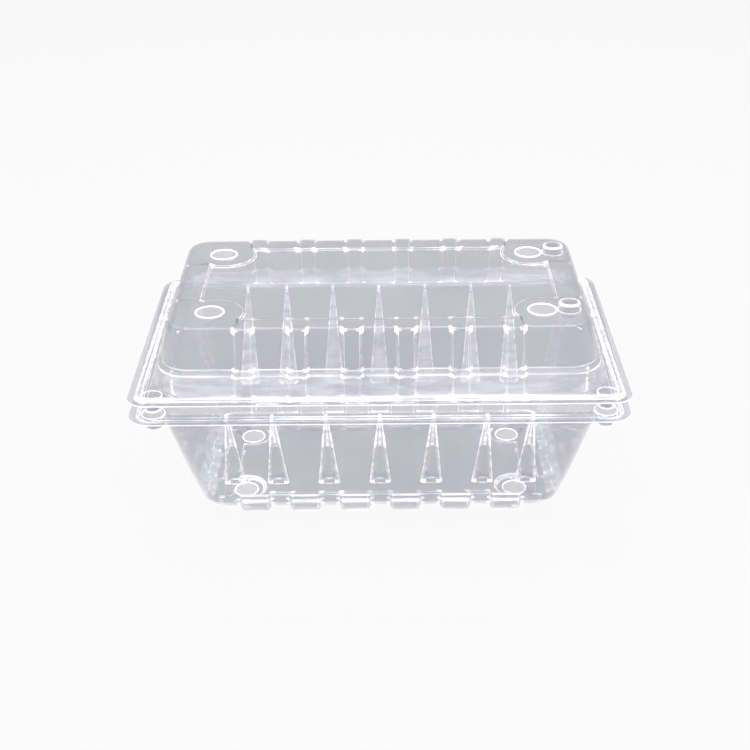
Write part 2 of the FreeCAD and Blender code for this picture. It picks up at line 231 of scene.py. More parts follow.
def cut_edge(name):
    """The bare edge of the sheet, where the die cut it: frosty, with a painted white highlight and glow."""
    material = bpy.data.materials.new(name)
    material.use_nodes = True
    tree = material.node_tree
    link = tree.links.new
    body = tree.nodes["Principled BSDF"]
    body.inputs["Roughness"].default_value = 0.35
    body.inputs["IOR"].default_value = plastic_ior
    body.inputs["Alpha"].default_value = painted_highlight_cover
    spread = node(tree, "ShaderNodeBsdfTranslucent")
    spread.inputs["Color"].default_value = painted_glow_colour
    both_sides = node(tree, "ShaderNodeAddShader")
    link(body.outputs["BSDF"], both_sides.inputs[0])
    link(spread.outputs["BSDF"], both_sides.inputs[1])
    link(both_sides.outputs["Shader"], tree.nodes["Material Output"].inputs["Surface"])

    place = node(tree, "ShaderNodeTexCoord")
    grain = noise(tree, 900.0)
    # The edge's painted white, a little uneven.
    shade = colour_mix(tree, (0.82, 0.82, 0.85, 1.0), (0.97, 0.97, 0.98, 1.0))
    link(place.outputs["Object"], grain.inputs["Vector"])
    link(grain.outputs["Fac"], shade.inputs["Factor"])
    link(shade.outputs["Result"], body.inputs["Base Color"])
    return material


sheet_finish = clear_sheet("clear_sheet_formed")
painted_bright_edge = cut_edge("clear_sheet_cut_edge")

# %% [markdown]
# A formed sheet starts flat and is drawn into a mould. We do the same: a grid primitive is the flat
# sheet, its long way runs round the pack and its short way runs from the flange's edge to the middle, and
# every vertex moves to its place in the mould. Extruding and scaling loops by hand gives the same rings,
# but the flutes, ribs and feet need their points moved one by one, so a formula places them.
#
# A station is one of the lines that run down the wall. It belongs to a side and to a feature on that
# side, such as a flute, and keeps its share of that feature's width while the feature widens.

# %% Stations round the pack
def smooth(low, high, value):
    """0 below low, 1 above high, and a soft step between."""
    share = min(max((value - low) / (high - low), 0.0), 1.0)
    return share * share * (3 - 2 * share)


def slope(low, high, value):
    """0 below low, 1 above high, and a straight ramp between."""
    return min(max((value - low) / (high - low), 0.0), 1.0)


def across(centres, shares, gap_steps, end_steps):
    """Stations along a side: a feature's centre, a share of its width, and how far on to what follows."""
    found = []
    for number, centre in enumerate(centres):
        found += [(centre, share, 0.0, None) for share in shares]
        if number + 1 < len(centres):
            found += [(centre, shares[-1], part / (gap_steps + 1), centres[number + 1])
                      for part in range(1, gap_steps + 1)]
    parts = [part / (end_steps + 1) for part in range(1, end_steps + 1)]
    start = [(centres[0], shares[0], 1.0 - part, "corner") for part in parts]
    end = [(centres[-1], shares[-1], part, "corner") for part in parts]
    return start, found, end


class Walk:
    """The stations round a shell, and where each one stands on a rounded rectangle."""

    def __init__(self, long_side, short_side, corner_steps):
        self.stations = []
        for side, layout in enumerate((long_side, short_side, long_side, short_side)):
            start, found, end = layout
            for centre, share, part, other in start + found + end:
                self.stations.append((side, centre, share, part, other))
            for step in range(corner_steps):
                self.stations.append((side + 4, (step + 0.5) / corner_steps, 0.0, 0.0, None))

    def place(self, station, half_x, half_y, corner, width):
        """The point, the way out, and how far along its side a station stands."""
        side, centre, share, part, other = station
        if side >= 4:
            angle = math.radians(-90 + 90 * (side - 4) + 90 * centre)
            sign_x = 1 if side in (4, 5) else -1
            sign_y = 1 if side in (5, 6) else -1
            way = (math.cos(angle), math.sin(angle))
            return (sign_x * (half_x - corner) + corner * way[0],
                    sign_y * (half_y - corner) + corner * way[1]), way, None
        length = half_x if side in (0, 2) else half_y
        along = centre + share * width(centre)
        if other == "corner":
            along += part * (math.copysign(length - corner, centre) - along)
        elif other is not None:
            along += part * (other - share * width(other) - along)
        if side == 0:
            return (along, -half_y), (0.0, -1.0), along
        if side == 1:
            return (half_x, along), (1.0, 0.0), along
        if side == 2:
            return (-along, half_y), (0.0, 1.0), -along
        return (-half_x, -along), (-1.0, 0.0), -along


bend_steps = 3
bend_share = 0.45


def towards(bend, end, reach):
    """The way from a bend to where its curve ends: reach long, and never half of the straight stretch."""
    way = end - bend
    return way * min(reach / max(np.linalg.norm(way[[1, 3]]), 1e-6), bend_share)


def rounded(points, reaches):
    """A bent line whose inner bends become short curves: every bend gives the same count of points."""
    points = [np.array(point, float) for point in points]
    line = [points[0]]
    for before, bend, after, reach in zip(points, points[1:], points[2:], reaches):
        into = towards(bend, before, reach)
        away = towards(bend, after, reach)
        for step in range(bend_steps + 1):
            u = step / bend_steps
            line.append(bend + into * (1 - u) ** 2 + away * u ** 2)
    line.append(points[-1])
    return line


# %% [markdown]
# With the stations in rings, the sheet can be drawn. The grid's two ends meet, so doubles are merged, and
# the innermost ring gets one face across the middle. The last ring is found by its places, because
# merging changes the numbers of the vertices. Solidify then gives the wall, and its rim gets the cut
# edge's material, which is painted bright.

# %% Draw a sheet into its mould
def deselect_all():
    if bpy.context.object and bpy.context.object.mode != "OBJECT":
        bpy.ops.object.mode_set(mode="OBJECT")
    bpy.ops.object.select_all(action="DESELECT")


def take(obj):
    """Select one object only, ready for an operator."""
    deselect_all()
    obj.select_set(True)
    bpy.context.view_layer.objects.active = obj


def moved(points, place):
    """Points as an array, taken through a place's matrix."""
    matrix = np.array(place)
    return np.array(points, float).reshape(-1, 3) @ matrix[:3, :3].T + matrix[:3, 3]


def give_finishes(obj):
    """The formed surface as the first material and the cut edge as the second."""
    obj.data.materials.clear()
    obj.data.materials.append(sheet_finish)
    obj.data.materials.append(painted_bright_edge)


def drawn_sheet(name, rings, place, outside_up):
    """A grid whose rows are the rings, closed round and filled in the middle, with its outside out."""
    deselect_all()
    count = len(rings[0])
    bpy.ops.mesh.primitive_grid_add(x_subdivisions=count, y_subdivisions=len(rings) - 1, size=1.0)
    sheet = bpy.context.object
    sheet.name = name
    points = moved([list(ring) + [ring[0]] for ring in rings], place)
    sheet.data.vertices.foreach_set("co", points.ravel())
    sheet.data.update()
    bpy.ops.object.mode_set(mode="EDIT")
    bpy.ops.mesh.select_all(action="SELECT")
    bpy.ops.mesh.remove_doubles(threshold=0.002 * mm)
    bpy.ops.mesh.select_all(action="DESELECT")
    bpy.ops.object.mode_set(mode="OBJECT")
    last_ring = kdtree.KDTree(count)
    for number, point in enumerate(points[-count - 1:-1]):
        last_ring.insert(point, number)
    last_ring.balance()
    for vertex in sheet.data.vertices:
        vertex.select = last_ring.find(vertex.co)[2] < 0.01 * mm
    bpy.ops.object.mode_set(mode="EDIT")
    bpy.ops.mesh.select_mode(type="VERT")
    bpy.ops.mesh.edge_face_add()
    bpy.ops.mesh.select_all(action="SELECT")
    bpy.ops.mesh.normals_make_consistent(inside=False)
    bpy.ops.object.mode_set(mode="OBJECT")
    if (sheet.data.polygons[0].normal.z > 0) != outside_up:
        sheet.data.flip_normals()
    print(name, "faces", len(sheet.data.polygons))
    return sheet


def thicken(sheet, offset=-1.0):
    """Give the sheet its wall: on the inside of the form at -1, and half on each side at 0."""
    take(sheet)
    give_finishes(sheet)
    solid = sheet.modifiers.new("Wall", "SOLIDIFY")
    solid.thickness = wall * mm
    solid.offset = offset
    solid.material_offset_rim = 1
    bpy.ops.object.modifier_apply(modifier="Wall")


round_sides = 48


def punch(sheet, places, radius, low, high, place):
    """Punch round holes through a sheet; the cut faces take the cut edge's painted bright material."""
    for x, y in places:
        deselect_all()
        bpy.ops.mesh.primitive_cylinder_add(vertices=round_sides, radius=radius, depth=high - low,
                                            location=(x, y, (low + high) / 2))
        punch_tool = bpy.context.object
        bpy.ops.object.transform_apply(location=True, rotation=True, scale=True)
        punch_tool.data.transform(place)
        give_finishes(punch_tool)
        punch_tool.data.polygons.foreach_set("material_index", [1] * len(punch_tool.data.polygons))
        take(sheet)
        cut = sheet.modifiers.new("Punch", "BOOLEAN")
        cut.operation = "DIFFERENCE"
        cut.solver = "MANIFOLD"
        cut.object = punch_tool
        bpy.ops.object.modifier_apply(modifier="Punch")
        bpy.data.objects.remove(punch_tool, do_unlink=True)
    print(sheet.name, "punched", len(places), "faces now", len(sheet.data.polygons))


# %% [markdown]
# Where two faces meet at an angle, the sheet bends between them, and the angle over the distance of their
# middles says how sharply. A narrow face lies in a bend and takes its sharpest edge. A wide one counts
# only where it bends on two edges, and counts less, so that a flat stays grey right up to its border.
#
# Some zones are painted whiter as well, a painted sheen. Those zones have no sharp bends, so each shell
# says where its own are, and the face takes the larger of the two.

# %% Measure the bends
smooth_angle = math.radians(40)
cut_angle = 1.2
narrow = 0.3
soft_curl = 0.3
hard_curl = 0.8
near_flange = 2.2
near_flange_weight = 0.45
wall_weight = 0.8


def read(items, name, parts=1, kind=float):
    """One property of every item of a mesh, as an array."""
    values = np.empty(len(items) * parts, kind)
    items.foreach_get(name, values)
    return values.reshape(-1, parts) if parts > 1 else values


def strip_widths(mesh, edges, owners):
    """How wide each face is, in millimetres, if it is taken for a long strip."""
    corners = read(mesh.vertices, "co", 3)
    ends = read(mesh.edges, "vertices", 2, int)
    lengths = np.linalg.norm(corners[ends[:, 0]] - corners[ends[:, 1]], axis=1)
    outline = np.bincount(owners, weights=lengths[edges], minlength=len(mesh.polygons))
    return 2.0 * read(mesh.polygons, "area") / np.maximum(outline, 1e-9) / mm


def face_curls(mesh, normals, centres, weight):
    """How sharply each face bends, in radians per millimetre."""
    edges = read(mesh.loops, "edge_index", kind=int)
    owners = np.repeat(np.arange(len(normals)), read(mesh.polygons, "loop_total", kind=int))
    width = strip_widths(mesh, edges, owners)
    order = np.argsort(edges, kind="stable")
    edges, owners = edges[order], owners[order]
    pairs = np.nonzero(edges[1:] == edges[:-1])[0]
    one, other = owners[pairs], owners[pairs + 1]
    turned = np.arccos(np.clip((normals[one] * normals[other]).sum(1), -1.0, 1.0))
    apart = np.linalg.norm(centres[one] - centres[other], axis=1)
    curl = turned / np.maximum(apart, 0.1)
    curl[turned > cut_angle] = 0.0

    # Every face with its bends, the sharpest one first.
    faces = np.concatenate([one, other])
    curls = np.concatenate([curl, curl])
    order = np.lexsort((-curls, faces))
    faces, curls = faces[order], curls[order]
    starts = np.concatenate([[True], faces[1:] != faces[:-1]])
    first = np.nonzero(starts)[0]
    first = first[width[faces[first]] <= narrow]
    second = np.nonzero(starts[:-1] & ~starts[1:])[0] + 1
    second = second[width[faces[second]] > narrow]
    found = np.zeros(len(normals))
    found[faces[first]] = curls[first]
    found[faces[second]] = weight[faces[second]] * curls[second]
    return found


def measure_bends(sheet, place=None, haze_and_sheen=None):
    """Smooth the shading, then write how sharply each face bends, from 0 to 1, or a zone's painted sheen
    where larger, as the attribute bend, which sets the painted highlight.
    """
    take(sheet)
    bpy.ops.object.shade_smooth_by_angle(angle=smooth_angle)
    normals = read(sheet.data.polygons, "normal", 3)
    centres = read(sheet.data.polygons, "center", 3) / mm
    weight = np.full(len(normals), near_flange_weight)
    painted_sheen = 0.0
    if haze_and_sheen is not None:
        at = moved(centres * mm, place.inverted())
        weight[np.abs(at[:, 2]) >= near_flange] = wall_weight
        painted_sheen = haze_and_sheen(at, normals)
    curls = face_curls(sheet.data, normals, centres, weight)
    share = np.maximum(np.clip((curls - soft_curl) / (hard_curl - soft_curl), 0.0, 1.0), painted_sheen)
    sheet.data.attributes.new("bend", "FLOAT", "FACE").data.foreach_set("value", share)
    print(sheet.name, "bent faces", int((share > 0.5).sum()), "of", len(share))


# %% [markdown]
# The tray. Its outside is given as a line of key outlines, from the flange's edge over the bead, down the
# wall and across the floor. Between the feet the line runs straight to the floor; at a foot it runs
# further out and down, and at an end pad it stands proud of the end wall. Every station follows one of
# these lines, or a mix. An outline is half its length, half its width, its corner's radius and its
# height.

# %% Tray lines
tray_depth = 60.5
mouth = (88.5, 56.0, 8.0)
waist = (81.0, 41.7, 12.0)
heel = (76.25, 37.0, 9.0)
floor_edge = (70.0, 33.5, 5.0)
waist_z = -43.0
heel_z = -57.0
foot_low = -61.7
flute_depth = 2.4
flute_half = 3.7
foot_gap_half = 4.215
bead_inset, bead_width, bead_draft, bead_height, bead_dip = 3.2, 2.9, 0.5, 1.6, 0.8
bead_corner_top, bead_corner_in = 3.7, 3.1
floor_steps = [(69.0, 32.0), (68.0, 30.6), (67.0, 29.3), (66.2, 28.4)]

# A foot and a pad take the lower part of the line to other places: how far out, and how high.
foot_section = [None, (39.95, -53.8), (38.6, -58.2), (35.85, foot_low), (33.0, foot_low), (29.95, foot_low),
                (29.4, -60.6), (28.9, -tray_depth), None]
pad_section = [(78.42, -50.6), (79.9, -52.4), (78.35, -57.5), (75.7, -60.5), (71.9, -61.0), (68.3, -60.55),
               None, None, None]


def shrunk(shape, by, corner=None):
    """An outline moved in by a distance; its corner shrinks as well, or is given."""
    return (shape[0] - by, shape[1] - by, max(shape[2] - by, 1.0) if corner is None else corner)


def between(first, second, share):
    """An outline part of the way from one to another."""
    return tuple(a + (b - a) * share for a, b in zip(first, second))


def bead_line(out):
    """The flange and its bead: out is 1 for a bead that stands up and -1 for one that hangs down."""
    base = out * wall
    top = out * bead_height
    return [
        (*flange, base),
        (*shrunk(flange, bead_inset), base),
        (*shrunk(flange, bead_inset + bead_draft), top),
        (*shrunk(flange, bead_inset + bead_width - bead_draft, bead_corner_top), top),
        (*shrunk(flange, bead_inset + bead_width, bead_corner_in), base),
    ]


def tray_line(kind):
    """The line of outlines between two feet, at a foot or at a pad of the end wall."""
    line = bead_line(-1) + [(*mouth, -wall)]
    drop = -wall - waist_z
    for down in (1.5, 20.0, drop - 0.5):
        line.append((*between(mouth, waist, down / drop), -wall - down))
    line.append((*between(waist, heel, 0.04), waist_z - 0.5))
    low = [
        (*between(waist, heel, 0.607), -51.5),
        (*between(waist, heel, 0.77), -53.8),
        (*heel, heel_z),
        (*between(heel, floor_edge, 0.5), -58.75),
        (*floor_edge, -tray_depth),
    ] + [(*shape, floor_edge[2], -tray_depth) for shape in floor_steps]
    if kind == "foot":
        return line + [was if new is None else (was[0], new[0], was[2], new[1])
                       for was, new in zip(low, foot_section)]
    if kind == "pad":
        return line + [was if new is None else (new[0], was[1], was[2], new[1])
                       for was, new in zip(low, pad_section)]
    return line + low


tray_reach = [0.4, 0.4, 0.4, 0.4, 0.9, 0.2, 0.2, 0.45, 0.45, 0.5, 0.5, 0.5, 0.5, 0.5, 0.5, 0.4, 0.4]
tray_lines = {kind: rounded(tray_line(kind), tray_reach) for kind in ("gap", "foot", "pad")}
print("tray rings", len(tray_lines["gap"]))

# %% [markdown]
# Flutes run down the long walls between the columns, and end in a small ledge at the waist. The stations
# of a flute spread as it widens. Under the waist the same stations mark the gaps between the feet. The
# bead is pressed flat in one pocket on each end and in two at the front.

# %% Tray stations and rings
outer_flute = 61.0
flute_places = [-outer_flute, -2 * pitch, -pitch, 0.0, pitch, 2 * pitch, outer_flute]
half_shares = [0.32, 0.62, 0.82, 0.9, 1.0, 1.1, 1.22, 1.32]
flute_shares = [-share for share in reversed(half_shares)] + [0.0] + half_shares
pad_places = [-20.0, 0.0, 20.0]
pad_half = 6.75
pad_shares = [-1.12, -1.04, -0.96, -0.74, -0.66, -0.3, -0.15, 0.15, 0.3, 0.66, 0.74, 0.96, 1.04, 1.12]
tray_walk = Walk(across(flute_places, flute_shares, 3, 3), across(pad_places, pad_shares, 1, 2), 9)
end_pocket, end_pocket_ramp = 18.5, 0.6
front_pocket, front_pocket_ramp = (16.0, 45.0), 2.5
flute_top = -1.0
flute_top_half = 0.45
corner_gap_half = 1.6
groove_edge = 0.88
bead_rings = 1 + 4 * (bend_steps + 1)


def flute_width(z):
    """Half the width of a flute at a height, and of the gap between feet under the waist."""
    if z > flute_top:
        return flute_top_half
    if z > waist_z:
        return flute_top_half + (flute_half - flute_top_half) * (z - flute_top) / (waist_z - flute_top)
    return flute_half + (foot_gap_half - flute_half) * smooth(0.0, 7.0, waist_z - z)


def groove(share):
    """A flute's section: a round bottom and soft edges."""
    share = abs(share)
    if share < groove_edge:
        return 1.0 - share * share
    return (1.0 - groove_edge ** 2) * (1 - smooth(0.84, 1.14, share)) * 1.05


def flute_sink(share, z):
    """How far a flute is pressed in at a height: nothing under the rim and at the waist."""
    if z > flute_top - 1.6:
        fade = smooth(flute_top, flute_top - 1.6, z)
    else:
        fade = 1 - smooth(-waist_z - 0.45, -waist_z + 0.45, -z)
    depth = flute_depth * min(1.0, (0.12 + 0.88 * (z - flute_top) / (waist_z - flute_top)))
    return depth * groove(share) * max(fade, 0.0)


def pocket_dip(side, along, with_front):
    """How far the bead is pressed flat: 1 in a pocket and 0 outside."""
    if along is None:
        return 0.0
    if side in (1, 3):
        return 1 - smooth(end_pocket - end_pocket_ramp, end_pocket + end_pocket_ramp, abs(along))
    if side == 0 and with_front:
        start, end = front_pocket
        inner = smooth(start - front_pocket_ramp, start + front_pocket_ramp, abs(along))
        return inner * (1 - smooth(end - front_pocket_ramp, end + front_pocket_ramp, abs(along)))
    return 0.0


def bead_press(side, along, with_front, height):
    """How far a pocket moves a point of the bead: all the way on its top, and not at all on the flange."""
    weight = min(max((height - wall) / (bead_height - wall), 0.0), 1.0)
    return (bead_height - bead_dip - wall) * pocket_dip(side, along, with_front) * weight


def tray_point(station, ring):
    """Where the sheet lies at a station, on one ring of the tray."""
    side, centre, share, part, other = station
    gap = tray_lines["gap"][ring]
    foot_share = pad_share = 0.0
    if side in (0, 2) and other is None:
        if abs(centre) != outer_flute:
            foot_share = slope(0.86, 1.27, abs(share))
        elif share * centre < 0:
            foot_share = slope(0.2, 1.32, abs(share))
    elif side in (0, 2) and other != "corner":
        foot_share = 1.0
    elif side in (1, 3) and other is None:
        pad_share = 1 - slope(0.7, 1.0, abs(share))
    here = gap + (tray_lines["foot"][ring] - gap) * foot_share + (tray_lines["pad"][ring] - gap) * pad_share
    half_x, half_y, corner, z = here
    wall_z = gap[3]

    def width(at):
        if side in (1, 3):
            return pad_half
        if abs(at) == outer_flute and wall_z < waist_z:
            return flute_half + (corner_gap_half - flute_half) * smooth(0.0, 8.0, waist_z - wall_z)
        return flute_width(wall_z)

    (x, y), way, along = tray_walk.place(station, half_x, half_y, corner, width)
    if ring < bead_rings:
        z += bead_press(side, along, True, -z)
    elif side in (0, 2) and other is None:
        sink = flute_sink(share, wall_z)
        x -= way[0] * sink
        y -= way[1] * sink
    return (x, y, z)


tray_rings = [[tray_point(station, ring) for station in tray_walk.stations]
              for ring in range(len(tray_lines["gap"]))]
print("tray stations", len(tray_walk.stations))

# %% [markdown]
# The middle of the floor is a raised panel whose corners are hollow, to leave room for the round vents.
# Its outline keeps the stations that face it, and spreads the others along the hollow corners. The lid's
# sunk panel has the same form, so both come from one function.

# %% Panel rings
hollow_steps = 24


def panel_ring(last_ring, walk, half_x, half_y, vent, hollow, grow, z):
    """A ring on the panel's outline, grown by a little, at height z."""
    keep_x = vent[0] - math.sqrt(hollow ** 2 - (half_y - vent[1]) ** 2)
    keep_y = vent[1] - math.sqrt(hollow ** 2 - (half_x - vent[0]) ** 2)
    half_x, half_y, hollow = half_x + grow, half_y + grow, hollow - grow
    corner_x = vent[0] - math.sqrt(hollow ** 2 - (half_y - vent[1]) ** 2)
    corner_y = vent[1] - math.sqrt(hollow ** 2 - (half_x - vent[0]) ** 2)
    first = math.atan2(half_y - vent[1], corner_x - vent[0])
    last = math.atan2(corner_y - vent[1], half_x - vent[0])
    ring = [None] * len(last_ring)
    groups = {}
    for number, (station, point) in enumerate(zip(walk.stations, last_ring)):
        side = station[0]
        x, y = point[0], point[1]
        if side in (0, 2) and abs(x) <= keep_x:
            ring[number] = (x * corner_x / keep_x, math.copysign(half_y, y), z)
        elif side in (1, 3) and abs(y) <= keep_y:
            ring[number] = (math.copysign(half_x, x), y * corner_y / keep_y, z)
        else:
            groups.setdefault((x > 0, y > 0), []).append(number)
    if last < first:
        last += 2 * math.pi
    angles = [first + (last - first) * step / hollow_steps for step in range(hollow_steps + 1)]
    bend = [(vent[0] + hollow * math.cos(angle), vent[1] + hollow * math.sin(angle)) for angle in angles]
    lengths = np.concatenate([[0.0], np.cumsum([math.dist(a, b) for a, b in zip(bend, bend[1:])])])
    for (right, back), numbers in groups.items():
        for place in range(1, len(numbers)):
            if numbers[place] > numbers[place - 1] + 1:
                numbers = numbers[place:] + numbers[:place]
                break
        starts_long = abs(last_ring[numbers[0]][0]) < abs(last_ring[numbers[-1]][0])
        for order, number in enumerate(numbers):
            share = order / (len(numbers) - 1)
            if not starts_long:
                share = 1 - share
            at = share * lengths[-1]
            x = np.interp(at, lengths, [point[0] for point in bend])
            y = np.interp(at, lengths, [point[1] for point in bend])
            ring[number] = (x if right else -x, y if back else -y, z)
    return ring


def panel_rings(last_ring, walk, half_x, half_y, vent, hollow, low, high):
    """Rings that step from the flat to the panel, with rounded bends."""
    steps = [(1.0, 0.0), (0.55, 0.08), (0.3, 0.35), (0.1, 0.7), (-0.15, 0.94), (-0.6, 1.0), (-2.0, 1.0)]
    return [panel_ring(last_ring, walk, half_x, half_y, vent, hollow, grow, low + rise * (high - low))
            for grow, rise in steps]


panel_rise = 1.2
floor_vent = (58.8, 21.4)
floor_panel = (62.0, 25.5)
floor_hollow = 8.4
tray_rings += panel_rings(tray_rings[-1], tray_walk, *floor_panel, floor_vent, floor_hollow,
                          -tray_depth, -tray_depth + panel_rise)

# %% [markdown]
# Each vent has a bright ring round it, on a small rolled lip that the die leaves. It is a torus, pressed a
# little flat, that sits in the wall's thickness round the hole, and the cut edge's material paints it
# bright.

# %% Vent lips
lip_offset = 0.1
lip_thickness = 0.26
lip_flatness = 0.7


def vent_lips(name, places, radius, height, place, body):
    """The rolled lip round each vent: a thin ring, pressed flat, painted bright by the cut edge's material.
    """
    for letter, (x, y) in zip("abcd", places):
        deselect_all()
        bpy.ops.mesh.primitive_torus_add(major_segments=64, minor_segments=10, location=(x, y, height),
                                         major_radius=radius + lip_offset, minor_radius=lip_thickness)
        lip = bpy.context.object
        lip.name = name + "_" + letter
        bpy.ops.object.mode_set(mode="EDIT")
        bpy.ops.mesh.select_all(action="SELECT")
        bpy.ops.transform.resize(value=(1.0, 1.0, lip_flatness), center_override=(x, y, height))
        bpy.ops.object.mode_set(mode="OBJECT")
        bpy.ops.object.transform_apply(location=True, rotation=True, scale=True)
        lip.data.transform(place)
        lip.data.materials.append(painted_bright_edge)
        bpy.ops.object.shade_smooth()
        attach(lip, body)
    print(name, len(places), "lips")


# %% [markdown]
# Now the tray is formed: drawn, given its wall, and punched. The stations are too far apart at the front
# corners to draw a small round socket there, so the flange gets a hole, and a cup closes it later.

# %% Form the tray
tray = drawn_sheet("tray_sheet", tray_rings, tray_place, False)
thicken(tray)
four_ways = [(-1, -1), (-1, 1), (1, -1), (1, 1)]
floor_vents = [(a * floor_vent[0], b * floor_vent[1]) for a, b in four_ways]
floor_vent_radius = 5.0
punch(tray, floor_vents, floor_vent_radius, -tray_depth - 1, -tray_depth + 1, tray_place)
vent_lips("floor_vent_lip", floor_vents, floor_vent_radius, wall / 2 - tray_depth, tray_place, "tray")
button = (90.2, -54.4)
buttons = [(-button[0], button[1]), button]
socket_radius = 4.8
punch(tray, buttons, socket_radius, -2.4, 1.0, tray_place)

# %% [markdown]
# The flutes of the rear wall, the end walls and their pads are painted whiter, a painted sheen. A zone
# is told by its place, and by the way its faces look.

# %% Painted sheen zones of the tray
# Painted sheen: how much each zone is whitened.
flute_sheen, pad_sheen, end_sheen = 0.36, 0.4, 0.18
end_wall_x = 72.0


def tray_sheen(at, way):
    """How much painted sheen each face of the tray gets, from its place and the way it looks."""
    x, y, z = np.abs(at[:, 0]), at[:, 1], at[:, 2]
    sideways = np.abs(way[:, 0])
    flutes = (y > 30.0) & (x < 68.0) & (z > waist_z - 1.0) & (sideways > 0.16)
    pads = (x > end_wall_x) & (np.abs(y) < 28.0) & (z < -49.0)
    ends = (x > end_wall_x) & (sideways > 0.6) & (z < -3.0)
    return np.maximum(flute_sheen * flutes, np.maximum(pad_sheen * pads, end_sheen * ends))


measure_bends(tray, tray_place, tray_sheen)
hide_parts("base_tray")
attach(tray, "tray")

# %% [markdown]
# The lid is formed the same way, but upwards: a bead that stands up, a steep foot, a step, and ribbed
# walls to the top, where a sunk panel takes the feet of the next pack.

# %% Lid lines and rings
lid_height = 26.0
rib_half = 3.6
rib_proud = 1.4
rib_places = [(number - 2.5) * pitch for number in range(6)]
rib_shares = [-1.3, -1.14, -1.05, -0.95, -0.86, -0.5, 0.0, 0.5, 0.86, 0.95, 1.05, 1.14, 1.3]
pocket_end_half = 4.0
pocket_end_shares = [-0.25, -0.1, 0.1, 0.25]
lid_walk = Walk(across(rib_places, rib_shares, 2, 3),
                across([-end_pocket, end_pocket], pocket_end_shares, 5, 3), 9)
lid_line = bead_line(1) + [
    (91.5, 56.8, 18.0, wall),
    (89.5, 54.0, 14.0, 8.5),
    (87.7, 50.4, 12.2, 9.5),
    (84.75, 47.55, 9.75, lid_height - 1.5),
    (83.25, 46.05, 8.25, lid_height),
    (81.6, 44.4, 7.0, lid_height),
]
lid_reach = [0.4, 0.4, 0.4, 0.4, 0.8, 0.9, 0.9, 1.0, 1.0]
lid_rounded = rounded(lid_line, lid_reach)
step_ring = bead_rings + bend_steps + 1
top_ring = len(lid_rounded) - 1


def lid_point(station, ring):
    """Where the sheet lies at a station, on one ring of the lid."""
    side, centre, share, part, other = station
    half_x, half_y, corner, z = lid_rounded[ring]
    width = rib_half if side in (0, 2) else pocket_end_half
    (x, y), way, along = lid_walk.place(station, half_x, half_y, corner, lambda at: width)
    if ring < bead_rings:
        z -= bead_press(side, along, False, z)
    elif side in (0, 2) and other is None and ring < top_ring:
        rise = smooth(bead_rings + 1, step_ring, ring) * (1 - smooth(0.86, 1.14, abs(share)))
        x += way[0] * rib_proud * rise
        y += way[1] * rib_proud * rise
    return (x, y, z)


lid_rings = [[lid_point(station, ring) for station in lid_walk.stations] for ring in range(top_ring + 1)]
lid_vent = (67.0, 30.6)
lid_panel = (72.5, 36.6)
lid_hollow = 13.2
lid_rings += panel_rings(lid_rings[-1], lid_walk, *lid_panel, lid_vent, lid_hollow,
                         lid_height, lid_height - panel_rise)

# %% [markdown]
# The lid's vents and lugs stand a little to the left of the middle, as on the real pack. The holes for
# the lugs and the buttons are a hair smaller than the cups that close them, so no gap is left.

# %% Form the lid
lid = drawn_sheet("lid_sheet", lid_rings, lid_place, True)
thicken(lid)
vent_shift = -1.15
lid_vent_radius = 5.6
lid_vents = [(a * lid_vent[0] + vent_shift, b * lid_vent[1]) for a, b in four_ways]
punch(lid, lid_vents, lid_vent_radius, lid_height - 1, lid_height + 1, lid_place)
vent_lips("lid_vent_lip", lid_vents, lid_vent_radius, lid_height - wall / 2, lid_place, "cover")
cup_overlap = 0.02
lug_radius = 4.8
lug_gap = 0.4
lug_x = lid_vent[0] + vent_shift + lid_vent_radius + lug_gap + lug_radius
lugs = [(lug_x, -lid_vent[1]), (lug_x, lid_vent[1])]
punch(lid, lugs, lug_radius - cup_overlap, lid_height - 1, lid_height + 1, lid_place)
button_radius = 4.2
punch(lid, buttons, button_radius - cup_overlap, -1.0, 2.6, lid_place)

# %% [markdown]
# The lid's steep foot is its painted sheen zone: most at the rear, less at the front, and least at the
# ends.

# %% Painted sheen zone of the lid
# Painted sheen: how much each part of the lid's foot is whitened.
rear_sheen, front_sheen, side_sheen = 0.3, 0.22, 0.12
long_wall_y = 50.0


def lid_sheen(at, way):
    """How much painted sheen each face of the lid gets, from its place."""
    y, z = at[:, 1], at[:, 2]
    foot = (z > 0.7) & (z < 8.8)
    return foot * (front_sheen * (y < -long_wall_y) + rear_sheen * (y > long_wall_y)
                   + side_sheen * (np.abs(y) <= long_wall_y))


measure_bends(lid, lid_place, lid_sheen)
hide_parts("lid")
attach(lid, "cover")

# %% [markdown]
# The round lugs, snap buttons and button sockets are small cups pressed out of the same sheet. Each one
# starts as a blunt cone. Its face at the mouth is deleted, the edge of its closed end is bevelled, so
# that the bend catches the light, and the cup gets the sheet's wall.

# %% Cups
cup_bevel = 0.8


